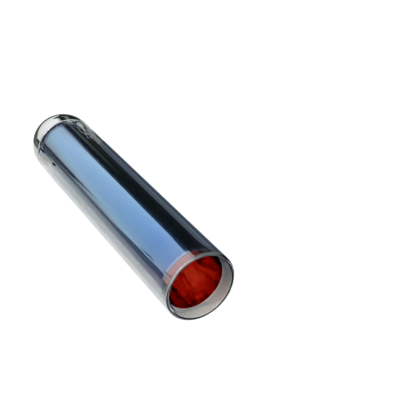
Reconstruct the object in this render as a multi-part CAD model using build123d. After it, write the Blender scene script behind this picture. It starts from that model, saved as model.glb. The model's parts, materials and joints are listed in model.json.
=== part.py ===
"""Evacuated solar tube: two glass tubes with closed ends, fused into one lip at the mouth.

The tube lies on its side with its axis along Y: the mouth faces -Y and the exhaust tip points to +Y.
Every piece is turned about that axis, so profiles are drawn in the XY plane as (radius, station),
where a station is measured along the axis from the mouth plane. `seated` then lays the piece down.
The space between the tubes holds a vacuum, two films, a spring clip and a getter ring.
"""
import os
from math import acos, asin, atan2, cos, degrees, hypot, radians, sin, sqrt

from build123d import *

# ---- glass envelope -----------------------------------------------------------------------------
OUTER_DIA = 58.0             # outer tube
OUTER_WALL = 1.8
INNER_DIA = 47.0             # inner tube, which carries the absorber
INNER_WALL = 1.6
CROWN_STATION = 288.0        # mouth plane to the crown of the outer dome, without the exhaust tip
DOME_GAP = 11.5              # vacuum left between the two domes on the axis, for clip and getter

# ---- mouth --------------------------------------------------------------------------------------
LIP_WALL = 0.8               # the inner tube is drawn out to this thickness where it fuses to the outer
CROTCH_GAP = 0.2             # vacuum space between the two walls where they run together
FUSED_DEPTH = 3.0            # depth of the ring of glass where the inner tube joins the outer
LIP_LAND = 0.5               # straight length between the lip's rounding and the flare
FLARE_LENGTH = 38.0          # the inner tube narrows from the opening to its bore over this length
FLARE_ROUND = 8.0            # radius where the lip turns into the flare's slope

# ---- exhaust tip, where the space was pumped out and the glass melted shut -----------------------
TIP_LENGTH = 10.0            # beyond the crown of the dome
TIP_DIA = 6.5
TIP_FILLET = 5.0             # sweep of the dome into the tip
CHANNEL_DIA = 3.0            # pumping channel where it leaves the inside of the dome
CHANNEL_LENGTH = 6.0

# ---- films on the vacuum side of the glass --------------------------------------------------------
FILM = 0.1
ABSORBER_START = 11.0        # clear glass is left from the lip to this station
MIRROR_REACH = 6.0           # the getter mirror covers the outer dome and this much straight wall

# ---- spring clip between the domes ----------------------------------------------------------------
CLIP_SHEET = 0.4
CLIP_ARMS = 3
ARM_WIDTH = 3.2
FIRST_ARM_ANGLE = 32.0       # from the top of the lying tube toward +X
HUB_ANGLE = 20.0             # half-angle of the dished hub, seen from the centre of the inner dome
HUB_HOLE_ANGLE = 4.0         # half-angle of the hole at its middle
PAD_SETBACK = 1.2            # each arm reaches the outer tube this far past the mirror's edge
PAD_LENGTH = 11.0            # and bears on it for this length
INWARD_RUN = 13.0            # from there the arm slopes in to the absorber
FOOT_RUN = 5.0               # and its end turns out again
FOOT_RISE = 1.5
ARM_BEND = 2.0               # centre-line radius of the bends
TONGUE_WIDTH = 3.0           # tongue of the hub that holds the getter ring
TONGUE_BEND = 1.0

# ---- getter ring, an open channel bent into a ring --------------------------------------------------
GETTER_DIA = 17.0
GETTER_SECTION = 3.0
GETTER_HEIGHT = 2.4
GETTER_SHEET = 0.3
GETTER_LIFT = 4.4            # from the crown of the inner dome to the underside of the ring

# ---- derived sizes --------------------------------------------------------------------------------
OUTER_R = OUTER_DIA / 2
VACUUM_OUTER_R = OUTER_R - OUTER_WALL
INNER_R = INNER_DIA / 2
BORE_R = INNER_R - INNER_WALL
OPENING_R = VACUUM_OUTER_R - LIP_WALL
FLARE_START = LIP_WALL + LIP_LAND
FLARE_END = FLARE_START + FLARE_LENGTH
OUTER_CENTRE = CROWN_STATION - OUTER_R
INNER_CROWN = OUTER_CENTRE + VACUUM_OUTER_R - DOME_GAP
INNER_CENTRE = INNER_CROWN - INNER_R
ABSORBER_R = INNER_R + FILM
MIRROR_R = VACUUM_OUTER_R - FILM
MIRROR_EDGE = OUTER_CENTRE - MIRROR_REACH
TOTAL_LENGTH = CROWN_STATION + TIP_LENGTH


def on_dome(centre, radius, polar_angle):
    """Point of a dome's section at a polar angle from the axis."""
    lean = radians(polar_angle)
    return (radius * sin(lean), centre + radius * cos(lean))


def dome_arc(centre, radius, first_angle, last_angle):
    angles = (first_angle, (first_angle + last_angle) / 2, last_angle)
    return ThreePointArc(*[on_dome(centre, radius, angle) for angle in angles])


def polar_angle_at(radius, sphere_radius):
    """Polar angle at which a sphere's section is this far from the axis."""
    return degrees(asin(radius / sphere_radius))


def quarter_round(centre, radial, axial):
    """Quarter circle about a centre; the signs of its radial and axial reach choose the quarter."""
    middle = (centre[0] + radial * sin(radians(45)), centre[1] + axial * cos(radians(45)))
    return ThreePointArc((centre[0], centre[1] + axial), middle, (centre[0] + radial, centre[1]))


class Flare:
    """One face of the inner tube's trumpet-shaped mouth, moved outward by a distance.

    A short arc leads from its start at the lip into the slope, and a long one to the straight tube.
    """

    def __init__(self, start, end_radius, outward=0.0):
        start_radius, self.start_station = start
        length = FLARE_END - self.start_station
        slope = 2 * atan2(start_radius - end_radius, length)
        long_radius = length / sin(slope) - FLARE_ROUND
        self.wide_radius = FLARE_ROUND + outward
        self.wide_centre = start_radius - FLARE_ROUND
        self.narrow_radius = long_radius - outward
        self.narrow_centre = end_radius + long_radius
        self.turn_station = self.start_station + self.wide_radius * sin(slope)
        self.end = (end_radius + outward, FLARE_END)

    def at(self, station):
        if station <= self.turn_station:
            rise = station - self.start_station
            return (self.wide_centre + sqrt(self.wide_radius**2 - rise**2), station)
        rise = FLARE_END - station
        return (self.narrow_centre - sqrt(self.narrow_radius**2 - rise**2), station)

    def arcs(self, first_station):
        """The arcs from this station to the straight tube."""
        stations = [first_station, FLARE_END]
        if first_station < self.turn_station:
            stations.insert(1, self.turn_station)
        spans = zip(stations, stations[1:])
        return [ThreePointArc(self.at(a), self.at((a + b) / 2), self.at(b)) for a, b in spans]


def bore_flare():
    return Flare((OPENING_R, FLARE_START), BORE_R)


def vacuum_flare(outward=0.0):
    return Flare((VACUUM_OUTER_R - CROTCH_GAP, FUSED_DEPTH), INNER_R, outward)


def turned(edges):
    """Solid of revolution of a closed profile."""
    return revolve(make_face(edges), Axis.Y, 360)


def outer_glass_tube():
    """Straight tube, dome and drawn exhaust tip; its mouth edge is rounded into the fused lip."""
    tip_r = TIP_DIA / 2
    fillet_r = tip_r + TIP_FILLET
    fillet_station = OUTER_CENTRE + sqrt((OUTER_R + TIP_FILLET) ** 2 - fillet_r**2)
    fillet_angle = polar_angle_at(fillet_r, OUTER_R + TIP_FILLET)
    fillet_low = on_dome(OUTER_CENTRE, OUTER_R, fillet_angle)
    fillet_bend = radians((90 + fillet_angle) / 2)
    fillet_middle = (
        fillet_r - TIP_FILLET * sin(fillet_bend),
        fillet_station - TIP_FILLET * cos(fillet_bend),
    )
    tip_end = TOTAL_LENGTH - tip_r
    channel_angle = polar_angle_at(CHANNEL_DIA / 2, VACUUM_OUTER_R)
    channel_mouth = on_dome(OUTER_CENTRE, VACUUM_OUTER_R, channel_angle)
    channel_end = (0, channel_mouth[1] + CHANNEL_LENGTH)
    return turned([
        quarter_round((VACUUM_OUTER_R, OUTER_WALL), OUTER_WALL, -OUTER_WALL),
        Line((OUTER_R, OUTER_WALL), (OUTER_R, OUTER_CENTRE)),
        dome_arc(OUTER_CENTRE, OUTER_R, 90, fillet_angle),
        ThreePointArc(fillet_low, fillet_middle, (tip_r, fillet_station)),
        Line((tip_r, fillet_station), (tip_r, tip_end)),
        quarter_round((0, tip_end), tip_r, tip_r),
        Line((0, TOTAL_LENGTH), channel_end),
        Line(channel_end, channel_mouth),
        dome_arc(OUTER_CENTRE, VACUUM_OUTER_R, channel_angle, 90),
        Line((VACUUM_OUTER_R, OUTER_CENTRE), (VACUUM_OUTER_R, 0)),
    ])


def inner_glass_tube():
    """Closed tube whose flared end, drawn out thinner, fills the lip and meets the outer wall."""
    bore_side = bore_flare()
    vacuum_side = vacuum_flare()
    crotch = vacuum_side.at(FUSED_DEPTH)
    return turned([
        quarter_round((VACUUM_OUTER_R, LIP_WALL), -LIP_WALL, -LIP_WALL),
        Line((OPENING_R, LIP_WALL), (OPENING_R, FLARE_START)),
        *bore_side.arcs(FLARE_START),
        Line(bore_side.end, (BORE_R, INNER_CENTRE)),
        dome_arc(INNER_CENTRE, BORE_R, 90, 0),
        Line((0, INNER_CENTRE + BORE_R), (0, INNER_CROWN)),
        dome_arc(INNER_CENTRE, INNER_R, 0, 90),
        Line((INNER_R, INNER_CENTRE), vacuum_side.end),
        *vacuum_side.arcs(FUSED_DEPTH),
        Line(crotch, (VACUUM_OUTER_R, FUSED_DEPTH)),
        Line((VACUUM_OUTER_R, FUSED_DEPTH), (VACUUM_OUTER_R, 0)),
    ])


def absorber_coating():
    """Film on the vacuum side of the inner tube: flare, straight wall and dome."""
    glass_side = vacuum_flare()
    free_side = vacuum_flare(FILM)
    return turned([
        *glass_side.arcs(ABSORBER_START),
        Line(glass_side.end, (INNER_R, INNER_CENTRE)),
        dome_arc(INNER_CENTRE, INNER_R, 90, 0),
        Line((0, INNER_CROWN), (0, INNER_CROWN + FILM)),
        dome_arc(INNER_CENTRE, ABSORBER_R, 0, 90),
        Line((ABSORBER_R, INNER_CENTRE), free_side.end),
        *free_side.arcs(ABSORBER_START),
        Line(free_side.at(ABSORBER_START), glass_side.at(ABSORBER_START)),
    ])


def getter_mirror():
    """Metal film on the inside of the outer dome, open at the pumping channel."""
    glass_angle = polar_angle_at(CHANNEL_DIA / 2, VACUUM_OUTER_R)
    free_angle = polar_angle_at(CHANNEL_DIA / 2, MIRROR_R)
    return turned([
        Line((MIRROR_R, MIRROR_EDGE), (VACUUM_OUTER_R, MIRROR_EDGE)),
        Line((VACUUM_OUTER_R, MIRROR_EDGE), (VACUUM_OUTER_R, OUTER_CENTRE)),
        dome_arc(OUTER_CENTRE, VACUUM_OUTER_R, 90, glass_angle),
        Line(
            on_dome(OUTER_CENTRE, VACUUM_OUTER_R, glass_angle),
            on_dome(OUTER_CENTRE, MIRROR_R, free_angle),
        ),
        dome_arc(OUTER_CENTRE, MIRROR_R, free_angle, 90),
        Line((MIRROR_R, OUTER_CENTRE), (MIRROR_R, MIRROR_EDGE)),
    ])


def sheet_blank(centre_line):
    """Clip sheet that follows this centre line, turned all the way round the axis."""
    outline = offset(centre_line, CLIP_SHEET / 2, side=Side.BOTH, kind=Kind.INTERSECTION)
    return turned(outline.edges())


def radial_slab(width, angle):
    """Slab from the axis outward, at this angle from the top of the tube toward +X."""
    slab = Pos(OUTER_R / 2, TOTAL_LENGTH / 2, 0) * Box(OUTER_R, TOTAL_LENGTH, width)
    return slab.rotate(Axis.Y, angle - 90)


def clip_centre_line():
    """Along the inner dome, out to the outer tube, in to the absorber, and the end turned out.

    The straight climb from the inner dome to the outer tube is tangent to the dome.
    """
    sheet_middle = ABSORBER_R + CLIP_SHEET / 2
    pad_r = VACUUM_OUTER_R - CLIP_SHEET / 2
    pad_start = MIRROR_EDGE - PAD_SETBACK
    pad_end = pad_start - PAD_LENGTH
    foot_start = pad_end - INWARD_RUN
    pad_from_centre = hypot(pad_r, pad_start - INNER_CENTRE)
    pad_angle = degrees(atan2(pad_r, pad_start - INNER_CENTRE))
    leaving_angle = pad_angle - degrees(acos(sheet_middle / pad_from_centre))
    corners = [
        on_dome(INNER_CENTRE, sheet_middle, leaving_angle),
        (pad_r, pad_start),
        (pad_r, pad_end),
        (sheet_middle, foot_start),
        (sheet_middle + FOOT_RISE, foot_start - FOOT_RUN),
    ]
    along_dome = dome_arc(INNER_CENTRE, sheet_middle, HUB_HOLE_ANGLE, leaving_angle)
    return Wire([along_dome, *FilletPolyline(*corners, radius=ARM_BEND).edges()])


def tongue_centre_line():
    """Lifted from the hub to the underside of the getter ring."""
    level = INNER_CROWN + GETTER_LIFT - CLIP_SHEET / 2
    root = on_dome(INNER_CENTRE, ABSORBER_R + CLIP_SHEET / 2, HUB_ANGLE / 2)
    lifted = (GETTER_DIA / 2 - GETTER_SECTION, level)
    end = (GETTER_DIA / 2, level)
    return Wire(FilletPolyline(root, lifted, end, radius=TONGUE_BEND).edges())


def support_clip():
    """One stamped spring: dished hub on the inner dome, arms, and the getter's tongue."""
    spacing = 360 / CLIP_ARMS
    hub_r = ABSORBER_R * sin(radians(HUB_ANGLE))
    hub_cut = Pos(0, TOTAL_LENGTH / 2, 0) * Rot(90, 0, 0) * Cylinder(hub_r, TOTAL_LENGTH)
    arm_cuts = [radial_slab(ARM_WIDTH, FIRST_ARM_ANGLE + spacing * n) for n in range(CLIP_ARMS)]
    spring = sheet_blank(clip_centre_line()) & (hub_cut + arm_cuts)
    tongue_cut = radial_slab(TONGUE_WIDTH, FIRST_ARM_ANGLE + spacing / 2)
    return spring + (sheet_blank(tongue_centre_line()) & tongue_cut)


def getter_ring():
    """Channel ring, open toward the outer dome."""
    outer_r = GETTER_DIA / 2
    inner_r = outer_r - GETTER_SECTION
    low = INNER_CROWN + GETTER_LIFT
    high = low + GETTER_HEIGHT
    floor = low + GETTER_SHEET
    corners = [
        (inner_r, low),
        (outer_r, low),
        (outer_r, high),
        (outer_r - GETTER_SHEET, high),
        (outer_r - GETTER_SHEET, floor),
        (inner_r + GETTER_SHEET, floor),
        (inner_r + GETTER_SHEET, high),
        (inner_r, high),
    ]
    return turned(Polyline(*corners, close=True).edges())


def seated(shape):
    """Lay the tube on the ground plane, centred along its axis."""
    return Pos(0, -TOTAL_LENGTH / 2, OUTER_R) * shape


def main():
    os.makedirs("parts", exist_ok=True)
    pieces = {
        "outer_glass_tube": outer_glass_tube(),
        "inner_glass_tube": inner_glass_tube(),
        "absorber_coating": absorber_coating(),
        "getter_mirror": getter_mirror(),
        "support_clip": support_clip(),
        "getter_ring": getter_ring(),
    }
    for node, shape in pieces.items():
        export_step(seated(shape), f"parts/{node}.step")


main()
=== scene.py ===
"""Looks of the evacuated solar tube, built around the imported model.

The tube lies along Y with its mouth at -Y. Profiles are lists of (radius, station) in metres, where
a station is measured along the axis from the mouth plane. `lathe` turns them about the axis.

Round the tube stand cards that only reflections and refractions see. They stand for what stood
round the real one: a second tube on its right, a dark room beyond both, a pale table on its left.
"""
import json
from math import asin, atan2, cos, degrees, pi, radians, sin, sqrt

import bmesh
import bpy
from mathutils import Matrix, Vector

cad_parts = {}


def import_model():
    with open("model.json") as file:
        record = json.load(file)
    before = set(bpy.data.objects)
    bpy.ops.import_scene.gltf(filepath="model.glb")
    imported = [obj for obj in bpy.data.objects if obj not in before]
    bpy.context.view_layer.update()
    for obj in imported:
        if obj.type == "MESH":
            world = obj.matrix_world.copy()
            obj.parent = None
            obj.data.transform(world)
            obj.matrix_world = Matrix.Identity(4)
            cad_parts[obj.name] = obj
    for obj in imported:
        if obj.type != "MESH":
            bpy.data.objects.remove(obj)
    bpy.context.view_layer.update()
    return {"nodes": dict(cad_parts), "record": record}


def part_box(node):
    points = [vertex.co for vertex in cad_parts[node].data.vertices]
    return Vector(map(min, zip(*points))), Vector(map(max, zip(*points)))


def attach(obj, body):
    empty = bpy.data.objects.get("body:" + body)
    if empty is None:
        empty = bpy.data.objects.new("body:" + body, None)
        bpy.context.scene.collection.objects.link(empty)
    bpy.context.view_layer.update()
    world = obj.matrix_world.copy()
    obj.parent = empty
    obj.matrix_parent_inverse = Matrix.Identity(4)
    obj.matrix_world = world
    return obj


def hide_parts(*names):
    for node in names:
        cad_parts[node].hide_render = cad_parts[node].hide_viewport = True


MM = 0.001
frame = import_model()

# ---- sizes read from the frame -------------------------------------------------------------------
tube_low, tube_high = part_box("outer_glass_tube")
mounts = {mount["name"]: mount for mount in frame["record"]["mounts"]}
OUTER_R = mounts["outer_diameter"]["dims"]["r_mm"] * MM
BORE_R = mounts["bore"]["dims"]["r_mm"] * MM
MOUTH_Y = tube_low.y
AXIS_Z = OUTER_R
TOTAL_LENGTH = tube_high.y - tube_low.y
ABSORBER_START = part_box("absorber_coating")[0].y - MOUTH_Y
INNER_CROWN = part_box("inner_glass_tube")[1].y - MOUTH_Y
MIRROR_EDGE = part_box("getter_mirror")[0].y - MOUTH_Y

# ---- sizes of the glass, as built ----------------------------------------------------------------
OUTER_WALL = 1.8 * MM
INNER_WALL = 1.6 * MM
LIP_WALL = 0.8 * MM          # the inner tube's share of the lip
CROTCH_GAP = 0.2 * MM
FUSED_DEPTH = 1.5 * MM       # where the vacuum space ends; part.py ends it at 3 mm
LIP_LAND = 0.5 * MM
FLARE_LENGTH = 38.0 * MM
FLARE_ROUND = 8.0 * MM
TIP_LENGTH = 10.0 * MM
TIP_R = 3.25 * MM
TIP_FILLET = 5.0 * MM
CHANNEL_R = 1.5 * MM
CHANNEL_LENGTH = 6.0 * MM
CHANNEL_TAPER = 0.55         # its radius halfway, as a share of CHANNEL_R
FILM = 0.1 * MM
VEIL = 3.2 * MM              # the getter mirror starts as a veil this far before the solid's edge
MIRROR_FADE = 2.4 * MM       # and has its full colour this far past it
SEE_THROUGH = (1.0 * MM, 14.0 * MM)   # seen from the vacuum, it closes between these distances
RAGGED = 1.5 * MM            # how much the veil's edge wanders
FILM_SINK = 0.03 * MM        # a film's glass side lies this deep in the glass, so no gap shows

# ---- numbers of segments -------------------------------------------------------------------------
TURN_STEPS = 192             # of a full turn; the rest are those of the profiles
WALL_STEPS = 40
SHORT_WALL_STEPS = 4
CROTCH_WALL_STEPS = 3
FLARE_STEPS = 24
FLARE_CROWDING = 1.5         # above 1, the flare's points crowd toward the lip
OUTER_DOME_STEPS = 40
INNER_DOME_STEPS = 32
BORE_DOME_STEPS = 24
TIP_STEPS = 10
FILLET_STEPS = 12
LIP_STEPS = (10, 8)          # of its outer and its inner round
CROTCH_STEPS = 8

VACUUM_R = OUTER_R - OUTER_WALL
INNER_R = BORE_R + INNER_WALL
OPENING_R = VACUUM_R - LIP_WALL
FLARE_START = LIP_WALL + LIP_LAND
FLARE_END = FLARE_START + FLARE_LENGTH
OUTER_CENTRE = TOTAL_LENGTH - TIP_LENGTH - OUTER_R
INNER_CENTRE = INNER_CROWN - INNER_R


# ---- profiles ------------------------------------------------------------------------------------
def arc(centre, radius, first, last, steps):
    """Points of an arc; angles in degrees from the axis (+Y) toward the radius."""
    angles = [radians(first + (last - first) * n / steps) for n in range(steps + 1)]
    return [(centre[0] + radius * sin(a), centre[1] + radius * cos(a)) for a in angles]


def bore_flare(station, outward=0.0):
    """Radius of the bore side of the trumpet-shaped mouth."""
    return flare_radius((OPENING_R, FLARE_START), BORE_R, outward, station)


def vacuum_flare(station, outward=0.0):
    """Radius of its vacuum side, which meets the outer wall in the crotch."""
    return flare_radius((VACUUM_R - CROTCH_GAP, FUSED_DEPTH), INNER_R, outward, station)


def flare_radius(start, end_radius, outward, station):
    """Two arcs from a point of the lip to the straight tube, moved outward by a distance."""
    start_radius, start_station = start
    length = FLARE_END - start_station
    slope = 2 * atan2(start_radius - end_radius, length)
    long_bend = length / sin(slope) - FLARE_ROUND
    rise = station - start_station
    if rise <= (FLARE_ROUND + outward) * sin(slope):
        return start_radius - FLARE_ROUND + sqrt((FLARE_ROUND + outward) ** 2 - rise**2)
    return end_radius + long_bend - sqrt((long_bend - outward) ** 2 - (FLARE_END - station) ** 2)


def along_flare(side, first_station, outward=0.0):
    """Points of the flare's bore side or vacuum side, from a station to the straight tube."""
    shares = [(n / FLARE_STEPS) ** FLARE_CROWDING for n in range(FLARE_STEPS + 1)]
    stations = [first_station + (FLARE_END - first_station) * share for share in shares]
    return [(side(station, outward), station) for station in stations]


def straight(radius, first, last, steps=WALL_STEPS):
    """Points between two stations of a straight wall, without its ends."""
    return [(radius, first + (last - first) * n / steps) for n in range(1, steps)]


def glass_outside():
    """From the exhaust tip over the outer wall and the lip down the bore to the inner dome."""
    fillet_r = TIP_R + TIP_FILLET
    fillet_station = OUTER_CENTRE + sqrt((OUTER_R + TIP_FILLET) ** 2 - fillet_r**2)
    fillet_angle = degrees(asin(fillet_r / (OUTER_R + TIP_FILLET)))
    tip_end = TOTAL_LENGTH - TIP_R
    return [
        *arc((0, tip_end), TIP_R, 0, 90, TIP_STEPS),
        *arc((fillet_r, fillet_station), TIP_FILLET, 270, 180 + fillet_angle, FILLET_STEPS),
        *arc((0, OUTER_CENTRE), OUTER_R, fillet_angle, 90, OUTER_DOME_STEPS)[1:],
        *straight(OUTER_R, OUTER_CENTRE, ABSORBER_START),
        (OUTER_R, ABSORBER_START),
        *straight(OUTER_R, ABSORBER_START, OUTER_WALL, SHORT_WALL_STEPS),
        *arc((VACUUM_R, OUTER_WALL), OUTER_WALL, 90, 180, LIP_STEPS[0]),
        *arc((VACUUM_R, LIP_WALL), LIP_WALL, 180, 270, LIP_STEPS[1])[1:],
        *along_flare(bore_flare, FLARE_START),
        *straight(BORE_R, FLARE_END, INNER_CENTRE),
        *arc((0, INNER_CENTRE), BORE_R, 90, 0, BORE_DOME_STEPS),
    ]


def glass_vacuum_side():
    """Closed surface of the vacuum space, from the pumping channel round to the inner dome."""
    channel_angle = degrees(asin(CHANNEL_R / VACUUM_R))
    channel_mouth = OUTER_CENTRE + VACUUM_R * cos(radians(channel_angle))
    crotch_r = CROTCH_GAP / 2
    crotch = (VACUUM_R - crotch_r, FUSED_DEPTH + crotch_r)
    halfway = (CHANNEL_R * CHANNEL_TAPER, channel_mouth + CHANNEL_LENGTH / 2)
    return [
        (0, channel_mouth + CHANNEL_LENGTH),
        halfway,
        *arc((0, OUTER_CENTRE), VACUUM_R, channel_angle, 90, OUTER_DOME_STEPS),
        *straight(VACUUM_R, OUTER_CENTRE, ABSORBER_START),
        (VACUUM_R, ABSORBER_START),
        *straight(VACUUM_R, ABSORBER_START, crotch[1], CROTCH_WALL_STEPS),
        *arc(crotch, crotch_r, 90, 270, CROTCH_STEPS),
        *along_flare(vacuum_flare, crotch[1] + crotch_r),
        *straight(INNER_R, FLARE_END, INNER_CENTRE),
        *arc((0, INNER_CENTRE), INNER_R, 90, 0, INNER_DOME_STEPS),
    ]


def film_on_inner_tube(outward):
    """One face of the absorber film: flare, straight wall and dome."""
    return [
        *along_flare(vacuum_flare, ABSORBER_START, outward),
        *straight(INNER_R + outward, FLARE_END, INNER_CENTRE),
        *arc((0, INNER_CENTRE), INNER_R + outward, 90, 0, INNER_DOME_STEPS),
    ]


def film_on_outer_dome(inward):
    """One face of the getter mirror: its thin veil, a short straight wall and the dome."""
    angle = degrees(asin(CHANNEL_R / (VACUUM_R - inward)))
    veil_r = VACUUM_R - min(inward, -FILM_SINK / 2)
    return [
        (veil_r, MIRROR_EDGE - VEIL),
        (veil_r, MIRROR_EDGE - FILM),
        (VACUUM_R - inward, MIRROR_EDGE),
        *straight(VACUUM_R - inward, MIRROR_EDGE, OUTER_CENTRE, SHORT_WALL_STEPS),
        *arc((0, OUTER_CENTRE), VACUUM_R - inward, 90, angle, INNER_DOME_STEPS),
    ]


# ---- meshes --------------------------------------------------------------------------------------
ON_AXIS = 1e-6 * MM          # a smaller radius than this makes a point, not a ring


def lathe(mesh, profile, outward=True, slot=0):
    """Adds a surface of revolution to a bmesh and returns its rings.

    `outward` says which way the normals face where the profile runs toward the mouth.
    """
    rings = []
    for radius, station in profile:
        y = MOUTH_Y + station
        if radius < ON_AXIS:
            rings.append([mesh.verts.new((0, y, AXIS_Z))])
            continue
        turns = [2 * pi * n / TURN_STEPS for n in range(TURN_STEPS)]
        places = [(radius * sin(turn), y, AXIS_Z + radius * cos(turn)) for turn in turns]
        rings.append([mesh.verts.new(place) for place in places])
    for first, second in zip(rings, rings[1:]):
        bridge(mesh, first, second, outward, slot)
    return rings


def bridge(mesh, first, second, outward, slot):
    """Faces between two rings, or a ring and a point of the axis."""
    for n in range(TURN_STEPS):
        m = (n + 1) % TURN_STEPS
        if len(first) == 1:
            corners = [first[0], second[m], second[n]]
        elif len(second) == 1:
            corners = [first[n], first[m], second[0]]
        else:
            corners = [first[n], first[m], second[m], second[n]]
        if outward:
            corners.reverse()
        face = mesh.faces.new(corners)
        face.smooth = True
        face.material_index = slot


def make_object(name, mesh, *materials):
    data = bpy.data.meshes.new(name)
    mesh.to_mesh(data)
    mesh.free()
    for material in materials:
        data.materials.append(material)
    piece = bpy.data.objects.new(name, data)
    bpy.context.scene.collection.objects.link(piece)
    return piece


# ---- node helpers --------------------------------------------------------------------------------
class Shading:
    """Node tree of a material or world, with short ways to add and join nodes."""

    def __init__(self, name, kinds=bpy.data.materials, output="ShaderNodeOutputMaterial"):
        self.owner = kinds.new(name)
        self.owner.use_nodes = True
        self.tree = self.owner.node_tree
        self.tree.nodes.clear()
        self.output = self.tree.nodes.new(output)

    def node(self, kind, **settings):
        made = self.tree.nodes.new(kind)
        for name, value in settings.items():
            setattr(made, name, value)
        return made

    def join(self, source, target):
        self.tree.links.new(source, target)

    def place(self, scale=(1, 1, 1), shift=(0, 0, 0)):
        """Object coordinates, scaled and then moved."""
        coordinates = self.node("ShaderNodeTexCoord")
        mapping = self.node("ShaderNodeMapping")
        mapping.inputs["Scale"].default_value = scale
        mapping.inputs["Location"].default_value = shift
        self.join(coordinates.outputs["Object"], mapping.inputs["Vector"])
        return mapping.outputs["Vector"]

    def along(self, axis):
        """Object coordinate along X, Y or Z."""
        split = self.node("ShaderNodeSeparateXYZ")
        self.join(self.place(), split.inputs["Vector"])
        return split.outputs[axis]

    def noise(self, scale, detail=3.0, roughness=0.5, stretch=(1, 1, 1), shift=(0, 0, 0)):
        noise = self.node("ShaderNodeTexNoise")
        noise.inputs["Scale"].default_value = scale
        noise.inputs["Detail"].default_value = detail
        noise.inputs["Roughness"].default_value = roughness
        self.join(self.place(stretch, shift), noise.inputs["Vector"])
        return noise.outputs["Fac"]

    def spread(self, source, low, high, to_low, to_high):
        """Maps one range of numbers to another, clamped."""
        node = self.node("ShaderNodeMapRange")
        node.inputs["From Min"].default_value = low
        node.inputs["From Max"].default_value = high
        node.inputs["To Min"].default_value = to_low
        node.inputs["To Max"].default_value = to_high
        self.join(source, node.inputs["Value"])
        return node.outputs["Result"]

    def ramp(self, source, *stops):
        node = self.node("ShaderNodeValToRGB")
        elements = node.color_ramp.elements
        while len(elements) < len(stops):
            elements.new(0.5)
        for element, (position, color) in zip(elements, stops):
            element.position = position
            element.color = (*color, 1)
        self.join(source, node.inputs["Fac"])
        return node.outputs["Color"]

    def mix_color(self, factor, first, second):
        node = self.node("ShaderNodeMix", data_type="RGBA")
        self.join(factor, node.inputs["Factor"])
        for socket, value in ((node.inputs["A"], first), (node.inputs["B"], second)):
            if isinstance(value, tuple):
                socket.default_value = (*value, 1)
            else:
                self.join(value, socket)
        return node.outputs["Result"]

    def multiply(self, first, second):
        """Product of two colours."""
        node = self.node("ShaderNodeMix", data_type="RGBA", blend_type="MULTIPLY")
        node.inputs["Factor"].default_value = 1.0
        self.join(first, node.inputs["A"])
        self.join(second, node.inputs["B"])
        return node.outputs["Result"]

    def blend_value(self, factor, first, second):
        node = self.node("ShaderNodeMix", data_type="FLOAT")
        self.join(factor, node.inputs["Factor"])
        self.join(first, node.inputs["A"])
        self.join(second, node.inputs["B"])
        return node.outputs["Result"]

    def math(self, operation, *values):
        node = self.node("ShaderNodeMath", operation=operation)
        for socket, value in zip(node.inputs, values):
            if isinstance(value, (int, float)):
                socket.default_value = value
            else:
                self.join(value, socket)
        return node.outputs["Value"]

    def seen_by(self, *kinds):
        """1 for rays of any of these kinds, such as Camera, and 0 for the rest."""
        path = self.node("ShaderNodeLightPath")
        seen = path.outputs[f"Is {kinds[0]} Ray"]
        for kind in kinds[1:]:
            seen = self.math("MAXIMUM", seen, path.outputs[f"Is {kind} Ray"])
        return seen

    def bump(self, height, distance):
        node = self.node("ShaderNodeBump")
        node.inputs["Distance"].default_value = distance
        node.inputs["Strength"].default_value = 1.0
        self.join(height, node.inputs["Height"])
        return node.outputs["Normal"]

    def principled(self, **sockets):
        node = self.node("ShaderNodeBsdfPrincipled")
        for name, value in sockets.items():
            socket = node.inputs[name.replace("_", " ")]
            if isinstance(value, bpy.types.NodeSocket):
                self.join(value, socket)
            elif isinstance(value, tuple):
                socket.default_value = (*value, 1)
            else:
                socket.default_value = value
        return node.outputs["BSDF"]

    def emission(self, color, strength=1.0):
        """Glow; its colour and its strength are each a fixed value or come from a node."""
        node = self.node("ShaderNodeEmission")
        if isinstance(color, tuple):
            node.inputs["Color"].default_value = (*color, 1)
        else:
            self.join(color, node.inputs["Color"])
        if isinstance(strength, float):
            node.inputs["Strength"].default_value = strength
        else:
            self.join(strength, node.inputs["Strength"])
        return node.outputs["Emission"]

    def mix_shader(self, factor, first, second):
        node = self.node("ShaderNodeMixShader")
        self.join(factor, node.inputs["Fac"])
        self.join(first, node.inputs[1])
        self.join(second, node.inputs[2])
        return node.outputs["Shader"]

    def transparent(self, color=(1, 1, 1)):
        node = self.node("ShaderNodeBsdfTransparent")
        node.inputs["Color"].default_value = (*color, 1)
        return node.outputs["BSDF"]

    def finish(self, shader):
        self.join(shader, self.output.inputs["Surface"])
        return self.owner


# ---- materials -----------------------------------------------------------------------------------
MIDDLE = (0.35, 0.65)        # most of a noise's values lie in this range
WIDE = (0.3, 0.7)            # and nearly all in this one
BODY_FILM = {"Thin_Film_Thickness": 205.0, "Thin_Film_IOR": 1.17}    # calms the glass's reflections
MOUTH_FILM = {"Thin_Film_Thickness": 68.0, "Thin_Film_IOR": 1.75}    # brightens them
GLASS_SHADOW = (0.9, 0.92, 0.91)
RIPPLE = 4.0                 # height of the wide ripple beside that of the fine draw lines


def glass_material(name, thin_film):
    """Clear borosilicate with faint draw lines along the tube, and a clear shadow."""
    shade = Shading(name)
    draw_lines = shade.noise(260, 2, 0.5, (1, 0.012, 1))
    ripple = shade.noise(28, 1, 0.4, (1, 0.15, 1))
    height = shade.math("ADD", draw_lines, shade.math("MULTIPLY", ripple, RIPPLE))
    glass = shade.principled(
        Base_Color=(0.985, 0.995, 0.99),
        Roughness=0.0,
        IOR=1.474,
        Transmission_Weight=1.0,
        Normal=shade.bump(height, 0.004 * MM),
        **thin_film,
    )
    shadow = shade.seen_by("Shadow")
    return shade.finish(shade.mix_shader(shadow, glass, shade.transparent(GLASS_SHADOW)))


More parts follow.
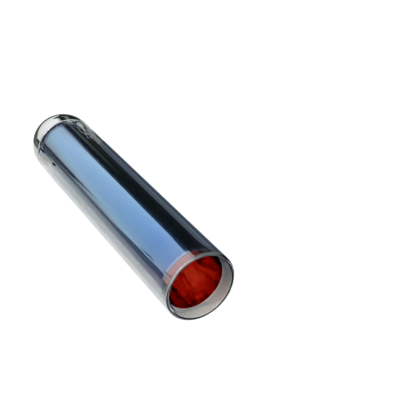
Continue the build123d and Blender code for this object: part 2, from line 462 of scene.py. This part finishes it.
def absorber_blue():
    """Sun side of the selective film.

    Its blue interference colour pales at a slant, and turns a little violet toward the mouth.
    """
    shade = Shading("absorber_blue")
    facing = shade.node("ShaderNodeLayerWeight")
    facing.inputs["Blend"].default_value = 0.5
    by_angle = shade.ramp(
        facing.outputs["Facing"],
        (0.0, (0.03, 0.08, 0.30)),
        (0.28, (0.14, 0.29, 0.60)),
        (0.356, (0.22, 0.40, 0.67)),
        (0.413, (0.28, 0.47, 0.72)),
        (0.45, (0.34, 0.54, 0.77)),
        (0.49, (0.33, 0.47, 0.62)),
        (0.53, (0.25, 0.32, 0.42)),
        (0.64, (0.32, 0.37, 0.44)),
        (0.83, (0.50, 0.54, 0.60)),
        (1.0, (0.85, 0.86, 0.88)),
    )
    drift = shade.spread(shade.noise(9, 2, 0.5, (1, 0.5, 1)), *MIDDLE, 0, 1)
    greener, pinker = (0.92, 1.0, 0.97), (1.0, 0.94, 1.0)
    violet_end = MOUTH_Y + 6 * OUTER_R
    toward_mouth = shade.ramp(
        shade.spread(shade.along("Y"), MOUTH_Y, violet_end, 0, 1),
        (0.06, (0.80, 0.70, 0.88)),
        (0.20, (0.86, 0.82, 0.95)),
        (0.35, (0.90, 0.92, 1.0)),
        (1.0, (0.95, 0.97, 1.0)),
    )
    tinted = shade.multiply(by_angle, shade.mix_color(drift, greener, pinker))
    grain = shade.noise(1500, 2, 0.6, (1, 0.08, 1))
    film = shade.principled(
        Base_Color=shade.multiply(tinted, toward_mouth),
        Metallic=1.0,
        Roughness=shade.spread(grain, *WIDE, 0.05, 0.10),
        Normal=shade.bump(shade.noise(22, 2, 0.5, (1, 0.2, 1)), 0.02 * MM),
    )
    return shade.finish(film)


def absorber_red():
    """Bore side of the film: its copper layer, deep red after the many reflections in the bore."""
    shade = Shading("absorber_copper")
    waves = shade.noise(26, 2, 0.45, (1, 0.5, 1), (1.3, 0.7, 0.9))
    stain = shade.noise(300, 3, 0.6, (1, 0.2, 1))
    stained = shade.spread(stain, *MIDDLE, 0, 1)
    copper = shade.principled(
        Base_Color=shade.mix_color(stained, (0.95, 0.65, 0.56), (0.97, 0.70, 0.60)),
        Metallic=1.0,
        Roughness=shade.spread(stain, *MIDDLE, 0.03, 0.07),
        Normal=shade.bump(waves, 3.2 * MM),
    )
    return shade.finish(copper)


def getter_film(name, seen_from_vacuum):
    """Barium mirror whose edge thins to a dark veil.

    Seen from the vacuum it closes further from its edge, so that no hard line shows in the coating.
    The film's free side is always seen so, and its glass side where the ray comes from behind it.
    """
    shade = Shading(name)
    wander = shade.math("MULTIPLY", shade.math("SUBTRACT", shade.noise(60, 3), 0.5), RAGGED)
    along = shade.math("ADD", shade.along("Y"), wander)
    edge = MOUTH_Y + MIRROR_EDGE
    thickness = shade.spread(along, edge - VEIL, edge + MIRROR_FADE, 0, 1)
    metal = shade.principled(
        Base_Color=shade.ramp(
            thickness,
            (0.0, (0.22, 0.27, 0.33)),
            (0.30, (0.60, 0.63, 0.66)),
            (0.55, (0.84, 0.85, 0.87)),
            (1.0, (0.90, 0.905, 0.91)),
        ),
        Metallic=1.0,
        Roughness=shade.spread(shade.noise(300, 3), *WIDE, 0.02, 0.06),
    )
    from_vacuum = shade.spread(along, edge + SEE_THROUGH[0], edge + SEE_THROUGH[1], 0, 1)
    if seen_from_vacuum:
        cover = from_vacuum
    else:
        from_glass = shade.spread(thickness, 0.0, 0.45, 0, 1)
        behind = shade.node("ShaderNodeNewGeometry").outputs["Backfacing"]
        cover = shade.blend_value(behind, from_glass, from_vacuum)
    return shade.finish(shade.mix_shader(cover, shade.transparent(), metal))


def spring_steel():
    """Bright strip with fine rolling lines."""
    shade = Shading("bright_spring_steel")
    rolling = shade.noise(900, 3, 0.6, (1, 0.05, 1))
    steel = shade.principled(
        Base_Color=shade.mix_color(rolling, (0.74, 0.745, 0.74), (0.86, 0.86, 0.85)),
        Metallic=1.0,
        Roughness=shade.spread(rolling, *WIDE, 0.24, 0.38),
        Normal=shade.bump(rolling, 0.003 * MM),
    )
    return shade.finish(steel)


def getter_steel():
    """Strip that went dull and sooty when the getter was fired."""
    shade = Shading("fired_getter_steel")
    soot = shade.noise(400, 4, 0.6)
    steel = shade.principled(
        Base_Color=shade.mix_color(soot, (0.20, 0.19, 0.18), (0.50, 0.49, 0.48)),
        Metallic=1.0,
        Roughness=shade.spread(soot, *WIDE, 0.35, 0.6),
        Normal=shade.bump(soot, 0.02 * MM),
    )
    return shade.finish(steel)


def glow(name, color):
    shade = Shading(name)
    return shade.finish(shade.emission(color))


def shaded_glow(name, axis, low, high, *stops):
    """Glow whose colour runs along one axis between two places."""
    shade = Shading(name)
    share = shade.spread(shade.along(axis), low, high, 0, 1)
    return shade.finish(shade.emission(shade.ramp(share, *stops)))


# ---- pieces --------------------------------------------------------------------------------------
MOUTH_SLOT = 1               # the glass's second material


def glass_envelope():
    """Both tubes as the one piece of glass that they are once fused.

    Its outside, bore included, is one closed surface and its vacuum side is another. All of the
    mouth but the bore has a material of its own.
    """
    mesh = bmesh.new()
    lathe(mesh, glass_outside())
    mesh.normal_update()
    in_bore = {face for face in mesh.faces if faces_axis(face)}
    lathe(mesh, glass_vacuum_side(), outward=False)
    for face in mesh.faces:
        at_mouth = face.calc_center_median().y < MOUTH_Y + ABSORBER_START
        if at_mouth and face not in in_bore:
            face.material_index = MOUTH_SLOT
    body = glass_material("clear_borosilicate", BODY_FILM)
    mouth = glass_material("clear_borosilicate_at_mouth", MOUTH_FILM)
    piece = make_object("glass_envelope", mesh, body, mouth)
    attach(piece, "root")
    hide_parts("outer_glass_tube", "inner_glass_tube")


def faces_axis(face):
    """Whether a face looks toward the tube's axis."""
    centre = face.calc_center_median()
    return face.normal.x * centre.x + face.normal.z * (centre.z - AXIS_Z) < 0


def absorber_film():
    """The film on the inner tube, blue on its sun side and copper on its bore side."""
    mesh = bmesh.new()
    sun_side = lathe(mesh, film_on_inner_tube(FILM), outward=False, slot=0)
    bore_side = lathe(mesh, film_on_inner_tube(-FILM_SINK), slot=1)
    bridge(mesh, bore_side[0], sun_side[0], outward=False, slot=0)
    bmesh.ops.recalc_face_normals(mesh, faces=mesh.faces)
    piece = make_object("absorber_film", mesh, absorber_blue(), absorber_red())
    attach(piece, "root")
    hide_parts("absorber_coating")


def mirror_film():
    """The silver film on the inside of the outer dome."""
    mesh = bmesh.new()
    free_side = lathe(mesh, film_on_outer_dome(FILM))
    glass_side = lathe(mesh, film_on_outer_dome(-FILM_SINK), slot=1)
    bridge(mesh, free_side[0], glass_side[0], outward=True, slot=0)
    bridge(mesh, free_side[-1], glass_side[-1], outward=True, slot=0)
    bmesh.ops.recalc_face_normals(mesh, faces=mesh.faces)
    free_film = getter_film("getter_film_free_side", True)
    glass_film = getter_film("getter_film_glass_side", False)
    piece = make_object("mirror_film", mesh, free_film, glass_film)
    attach(piece, "root")
    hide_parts("getter_mirror")


def dress_node(node, material):
    """A better material on a CAD node whose shape is right."""
    for slot in frame["nodes"][node].material_slots:
        slot.material = material


# ---- stage ---------------------------------------------------------------------------------------
def plane(name, corners, material):
    mesh = bmesh.new()
    mesh.faces.new([mesh.verts.new(corner) for corner in corners])
    piece = make_object(name, mesh, material)
    return piece


FLOOR_REACH = 4.0
FLOOR_LIFT = 0.1             # glow of the floor where the camera, a reflection or the glass sees it
CAMERA_LIFT = 0.45           # and as much more for the camera, to which the floor is white


def floor():
    shade = Shading("pale_floor")
    seen = shade.seen_by("Camera", "Glossy", "Transmission")
    grain = shade.noise(40, 2)
    paper = shade.principled(
        Base_Color=shade.mix_color(grain, (0.86, 0.86, 0.86), (0.88, 0.88, 0.88)),
        Roughness=0.9,
        Specular_IOR_Level=0.0,
    )
    to_camera = shade.math("MULTIPLY", shade.seen_by("Camera"), CAMERA_LIFT)
    lift = shade.emission((1, 1, 1), shade.math("MULTIPLY_ADD", seen, FLOOR_LIFT, to_camera))
    both = shade.node("ShaderNodeAddShader")
    shade.join(paper, both.inputs[0])
    shade.join(lift, both.inputs[1])
    corners = rectangle((-FLOOR_REACH, -FLOOR_REACH), (FLOOR_REACH, FLOOR_REACH))
    plane("floor", [(x, y, 0) for x, y in corners], shade.finish(both.outputs["Shader"]))


def rectangle(low, high):
    """Corners of a rectangle in X and Y."""
    return [low, (high[0], low[1]), high, (low[0], high[1])]


def card(name, corners, material):
    """Flat card that only reflections and refractions see."""
    hide(plane(name, corners, material))


def hide(piece):
    piece.visible_camera = False
    piece.visible_diffuse = False
    piece.visible_shadow = False


def floor_card(name, height, corners, material):
    """Card just over the floor; where two overlap, the higher one is seen."""
    card(name, [(x, y, height) for x, y in corners], material)


def ring_card(name, distance, angles, ends, material):
    """Card along the tube, between two angles round its axis, from the top toward +X."""
    corners = []
    for angle, y in rectangle((angles[0], ends[0]), (angles[1], ends[1])):
        x, z = distance * sin(radians(angle)), distance * cos(radians(angle))
        corners.append((x, y, AXIS_Z + z))
    card(name, corners, material)


BLACK = (0.012, 0.016, 0.015)
NEIGHBOUR_X = 0.077          # axis of the second tube
NEIGHBOUR_ENDS = (-0.28, 0.147)
NEIGHBOUR_CUT = 1.25         # its far end slants: so much nearer for each metre of height
NEIGHBOUR_LEANS = (20, 160)  # the part of its round that is there, from straight down
NEIGHBOUR_STEPS = 24


def neighbour_card():
    """Dark card bent like the near side of a second tube that lies along this one."""
    glow_by_height = shaded_glow(
        "neighbour_glow",
        "Z",
        0.0,
        2 * OUTER_R,
        (0.25, (0.055, 0.07, 0.095)),
        (0.34, (0.13, 0.16, 0.21)),
        (0.44, (0.13, 0.16, 0.21)),
        (0.50, (0.085, 0.11, 0.16)),
        (0.63, (0.075, 0.10, 0.15)),
        (0.70, BLACK),
    )
    mesh = bmesh.new()
    rows = []
    first_lean, last_lean = NEIGHBOUR_LEANS
    for n in range(NEIGHBOUR_STEPS + 1):
        lean = radians(first_lean + (last_lean - first_lean) * n / NEIGHBOUR_STEPS)
        x = NEIGHBOUR_X - OUTER_R * sin(lean)
        z = AXIS_Z - OUTER_R * cos(lean)
        ends = (NEIGHBOUR_ENDS[0], NEIGHBOUR_ENDS[1] - NEIGHBOUR_CUT * z)
        rows.append([mesh.verts.new((x, y, z)) for y in ends])
    for first, second in zip(rows, rows[1:]):
        mesh.faces.new([first[0], first[1], second[1], second[0]])
    bent = make_object("neighbour_card", mesh, glow_by_height)
    hide(bent)


ROOM_DARK = 1.5              # distances of the room's cards from the tube's axis
ROOM_LIGHT = 1.45
LIGHT_START = 1.8            # where its light starts along Y, and where it is full
LIGHT_FULL = 2.2
LIGHT_END = 3.0


def room_cards():
    """Dark room behind the second tube, which gets lighter far off."""
    black = glow("black_card", BLACK)
    ring_card("dark_card_right", ROOM_DARK, (17, 60), (0.9, 4.5), black)
    ring_card("dark_card_low", ROOM_DARK, (60, 92), (0.9, 4.5), black)
    dark_floor = [(0.11, -0.1), (1.6, 1.3), (1.6, 8.0), (0.11, 8.0)]
    floor_card("dark_floor_card", 1.5 * MM, dark_floor, black)
    far_light = shaded_glow(
        "far_light",
        "Y",
        LIGHT_START,
        LIGHT_FULL,
        (0.0, (0.025, 0.03, 0.03)),
        (0.5, (0.07, 0.08, 0.08)),
        (0.75, (0.16, 0.19, 0.20)),
        (1.0, (0.46, 0.54, 0.58)),
    )
    lit = (LIGHT_START, LIGHT_END)
    ring_card("far_light_card", ROOM_LIGHT, (17, 32), lit, far_light)
    dusk_stops = (0.0, BLACK), (1.0, (0.17, 0.20, 0.18))
    far_dusk = shaded_glow("far_dusk", "Y", LIGHT_START, LIGHT_FULL, *dusk_stops)
    ring_card("far_dusk_card", ROOM_LIGHT, (32, 60), lit, far_dusk)


SHADE = (-0.14, 0.146)       # where the second tube shades the floor, along Y


def floor_cards():
    """The floor in the painted shade of the second tube, and in a lighter painted shade in the gap
    past its end.
    """
    # painted shadow of the second tube on the floor, palest at its end toward the mouth
    near_floor = shaded_glow(
        "near_floor_glow",
        "Y",
        SHADE[0],
        -0.09,
        (0.0, (0.42, 0.42, 0.41)),
        (0.4, (0.22, 0.22, 0.22)),
        (1.0, (0.065, 0.08, 0.11)),
    )
    shaded = rectangle((0.012, SHADE[0]), (0.081, SHADE[1]))
    floor_card("near_floor_card", 1.0 * MM, shaded, near_floor)
    # painted shade on the floor between the two tubes past the second one's end, darkest toward
    # this tube
    gap_floor_shade = shaded_glow(
        "gap_floor_glow",
        "X",
        0.05,
        0.11,
        (0.0, (0.04, 0.045, 0.045)),
        (0.13, (0.06, 0.07, 0.07)),
        (0.30, (0.15, 0.16, 0.16)),
        (0.45, (0.36, 0.37, 0.37)),
        (0.80, (0.52, 0.53, 0.52)),
    )
    gap = rectangle((0.034, SHADE[1]), (0.11, 0.6))
    floor_card("gap_floor_card", 1.0 * MM, gap, gap_floor_shade)
    beyond = rectangle((-0.12, 0.2), (0.3, 1.5))
    floor_card("beyond_card", 1.2 * MM, beyond, glow("beyond_card", (0.08, 0.09, 0.08)))
    bright_gap = [(0.08, 0.2), (0.175, 0.305), (0.175, 0.42), (0.08, 0.42)]
    floor_card("bright_gap_card", 1.8 * MM, bright_gap, glow("bright_gap", (0.50, 0.51, 0.50)))


def left_cards():
    """Pale table on the left, with the dark shapes that cross it in the photo's reflections."""
    table = rectangle((-0.034, -0.6), (-0.6, 1.2))
    floor_card("left_card", 1.0 * MM, table, left_card_material())
    far_corners = [(-0.125, 0.185), (-0.6, 0.71), (-0.6, 2.0), (-0.125, 2.0)]
    floor_card("left_far_card", 2.0 * MM, far_corners, glow("dark_card", (0.035, 0.055, 0.06)))
    dusk = glow("dusk_card", (0.10, 0.12, 0.16))
    near_corners = [(-0.1, -0.06), (-0.19, -0.02), (-0.19, 0.095), (-0.105, 0.055)]
    floor_card("left_near_card", 2.5 * MM, near_corners, dusk)
    foot, top = 0.003, 0.16
    leaning_line = [(0.200, foot), (0.218, foot), (0.109, top), (0.091, top)]
    card("left_line_card", [(-0.3, y, z) for y, z in leaning_line], dusk)


def left_card_material():
    """Pale table with a dark strip along the tube; it glows dimmer beside the mouth, a painted
    shadow of the tube.
    """
    shade = Shading("left_card")
    across = shade.ramp(
        shade.spread(shade.along("X"), -0.5, 0.0, 0, 1),
        (0.0, (0.84, 0.84, 0.79)),
        (0.76, (0.76, 0.76, 0.71)),
        (0.79, (0.19, 0.20, 0.21)),
        (0.85, (0.22, 0.24, 0.26)),
        (0.87, (0.58, 0.58, 0.58)),
        (0.89, (0.68, 0.68, 0.68)),
        (0.95, (0.70, 0.70, 0.70)),
    )
    # painted shadow: the glow dims toward the mouth, where the tube's own shade falls on the table
    painted_shadow_strength = shade.spread(shade.along("Y"), -0.1, 0.12, 0.70, 0.98)
    return shade.finish(shade.emission(across, painted_shadow_strength))


WORLD_LIGHT = (0.6, 1.0)     # its strength for diffuse light, and where it is seen


def world():
    """Overcast studio sky, white to the camera."""
    shade = Shading("studio", bpy.data.worlds, "ShaderNodeOutputWorld")
    direction = shade.node("ShaderNodeTexCoord")
    split = shade.node("ShaderNodeSeparateXYZ")
    shade.join(direction.outputs["Generated"], split.inputs["Vector"])
    sky = shade.ramp(
        split.outputs["Z"],
        (0.0, (0.76, 0.75, 0.69)),
        (0.3, (0.82, 0.82, 0.81)),
        (0.68, (1, 1, 1)),
    )
    seen = shade.seen_by("Camera", "Glossy", "Transmission")
    background = shade.node("ShaderNodeBackground")
    backdrop = shade.mix_color(shade.seen_by("Camera"), sky, (1, 1, 1))
    shade.join(backdrop, background.inputs["Color"])
    shade.join(shade.spread(seen, 0, 1, *WORLD_LIGHT), background.inputs["Strength"])
    bpy.context.scene.world = shade.finish(background.outputs["Background"])


KEY_PLACE = (-0.9, -0.3, 1.3)
KEY_SIZE = 1.2
KEY_POWER = 9


def key_light():
    """Square softbox from the upper left, aimed at the tube's middle."""
    light = bpy.data.lights.new("key", "AREA")
    light.shape = "RECTANGLE"
    light.size = light.size_y = KEY_SIZE
    light.energy = KEY_POWER
    lamp = bpy.data.objects.new("key", light)
    lamp.location = KEY_PLACE
    lamp.rotation_mode = "QUATERNION"
    lamp.rotation_quaternion = (-Vector(KEY_PLACE)).to_track_quat("-Z", "Y")
    lamp.visible_camera = False
    bpy.context.scene.collection.objects.link(lamp)


# ---- camera --------------------------------------------------------------------------------------
CAMERA_AZIMUTH = -30.4
CAMERA_ELEVATION = 31.65
CAMERA_LENS = 76.5
CAMERA_SENSOR = 36
CAMERA_CLIP = (0.01, 30)
MOUTH_OFFSET = (0.041, 2.212, 21.394)   # mouth's centre right, down and ahead, in outer radii


def camera():
    azimuth, elevation = radians(CAMERA_AZIMUTH), radians(CAMERA_ELEVATION)
    level = Vector((-sin(azimuth), cos(azimuth), 0))
    ahead = level * cos(elevation) + Vector((0, 0, -sin(elevation)))
    down = -level * sin(elevation) - Vector((0, 0, cos(elevation)))
    right = ahead.cross(-down)
    offset = right * MOUTH_OFFSET[0] + down * MOUTH_OFFSET[1] + ahead * MOUTH_OFFSET[2]
    data = bpy.data.cameras.new("camera")
    data.lens = CAMERA_LENS
    data.sensor_width = CAMERA_SENSOR
    data.clip_start, data.clip_end = CAMERA_CLIP
    made = bpy.data.objects.new("camera", data)
    made.rotation_mode = "QUATERNION"
    made.rotation_quaternion = ahead.to_track_quat("-Z", "Y")
    made.location = Vector((0, MOUTH_Y, AXIS_Z)) - offset * OUTER_R
    bpy.context.scene.collection.objects.link(made)
    bpy.context.scene.camera = made


BOUNCES = 64                 # enough for light to cross both walls and leave the deep bore
GLOSSY_BOUNCES = 32


def main():
    glass_envelope()
    absorber_film()
    mirror_film()
    dress_node("support_clip", spring_steel())
    dress_node("getter_ring", getter_steel())
    world()
    floor()
    neighbour_card()
    room_cards()
    floor_cards()
    left_cards()
    key_light()
    camera()
    scene = bpy.context.scene
    scene.view_settings.view_transform = "Standard"
    scene.cycles.max_bounces = BOUNCES
    scene.cycles.transmission_bounces = BOUNCES
    scene.cycles.glossy_bounces = GLOSSY_BOUNCES


main()
